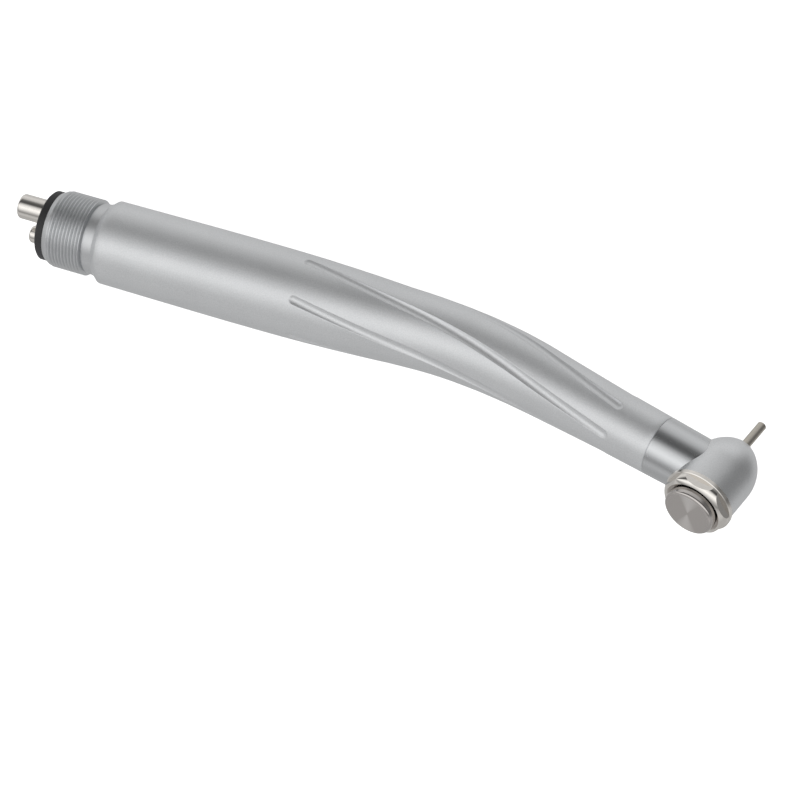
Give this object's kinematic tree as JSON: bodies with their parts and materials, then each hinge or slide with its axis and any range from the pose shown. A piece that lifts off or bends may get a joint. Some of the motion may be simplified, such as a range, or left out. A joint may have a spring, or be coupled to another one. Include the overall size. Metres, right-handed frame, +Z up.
{
  "type": "high speed dental handpiece",
  "caption": "Slim bent air-turbine dental handpiece with a spiral-fluted grip, push-button bur release and a threaded two-tube hose coupling.",
  "frame": {"origin": "centre of the rear sealing face of the hose coupling", "axes": "+X forward along the straight rear part of the handle, +Z up with the handpiece lying on its side, the neck bending towards -Y and the bur pointing towards +Y"},
  "size_m": [0.1388, 0.0302, 0.0154],
  "materials": {
    "matte_shell": "bead-blasted",
    "satin_neck": "fine satin",
    "machined_thread": "machined",
    "gasket_rubber": "smooth",
    "polished_tube": "polished",
    "polished_cap": "polished",
    "turned_button": "turned",
    "line_metal": "drawn",
    "brass_block": "machined",
    "ring_rubber": "smooth",
    "bearing_steel": "ground",
    "ball_ceramic": "lapped",
    "cage_polymer": "machined",
    "rotor_alloy": "machined",
    "spring_steel": "drawn",
    "bur_steel": "ground"
  },
  "bodies": {
    "handpiece": {"handle_shell": "matte_shell", "rear_coupling": "machined_thread", "coupling_gasket": "gasket_rubber", "drive_air_tube": "polished_tube", "water_tube": "polished_tube", "line_manifold": "brass_block", "drive_air_line": "line_metal", "water_line": "line_metal", "chip_air_line": "line_metal", "line_spacer": "cage_polymer", "neck_sleeve": "satin_neck", "neck_o_ring": "ring_rubber", "head_shell": "matte_shell", "spray_nozzle": "line_metal", "head_cap": "polished_cap", "rear_bearing_carrier": "bearing_steel", "button_spring": "spring_steel", "front_bearing_outer_ring": "bearing_steel", "front_bearing_o_ring": "ring_rubber", "rear_bearing_outer_ring": "bearing_steel", "rear_bearing_o_ring": "ring_rubber", "preload_washer": "spring_steel"},
    "rotor": {"spindle": "bearing_steel", "impeller": "rotor_alloy", "chuck": "bearing_steel", "front_bearing_inner_ring": "bearing_steel", "rear_bearing_inner_ring": "bearing_steel"},
    "front_ball_set": {"front_bearing_balls": "ball_ceramic", "front_bearing_cage": "cage_polymer"},
    "rear_ball_set": {"rear_bearing_balls": "ball_ceramic", "rear_bearing_cage": "cage_polymer"},
    "button": {"push_button": "turned_button"},
    "plunger": {"release_plunger": "bearing_steel"},
    "bur": {"bur": "bur_steel"}
  },
  "joints": [
    {"name": "rotor_spin", "type": "hinge", "parent": "handpiece", "child": "rotor", "pos_m": [0.12728, -0.01263, 0], "axis": [0.2672, 0.9636, 0], "continuous": true},
    {"name": "front_ball_spin", "type": "hinge", "parent": "handpiece", "child": "front_ball_set", "pos_m": [0.12728, -0.01263, 0], "axis": [0.2672, 0.9636, 0], "continuous": true},
    {"name": "rear_ball_spin", "type": "hinge", "parent": "handpiece", "child": "rear_ball_set", "pos_m": [0.12728, -0.01263, 0], "axis": [0.2672, 0.9636, 0], "continuous": true},
    {"name": "button_press", "type": "slide", "parent": "handpiece", "child": "button", "axis": [0.2672, 0.9636, 0], "range_m": [0, 0.0007], "stiffness_N_per_m": 600, "springref_m": -0.002, "deforming": ["button_spring"]},
    {"name": "plunger_slide", "type": "slide", "parent": "rotor", "child": "plunger", "axis": [0.2672, 0.9636, 0], "range_m": [0, 0.0005]},
    {"name": "bur_pull", "type": "slide", "parent": "rotor", "child": "bur", "axis": [0.2672, 0.9636, 0], "range_m": [0, 0.014]}
  ],
  "couplings": [
    {"joint": "front_ball_spin", "follows": "rotor_spin", "ratio": 0.3971},
    {"joint": "rear_ball_spin", "follows": "rotor_spin", "ratio": 0.3971},
    {"joint": "plunger_slide", "follows": "button_press", "ratio": 0.7}
  ]
}
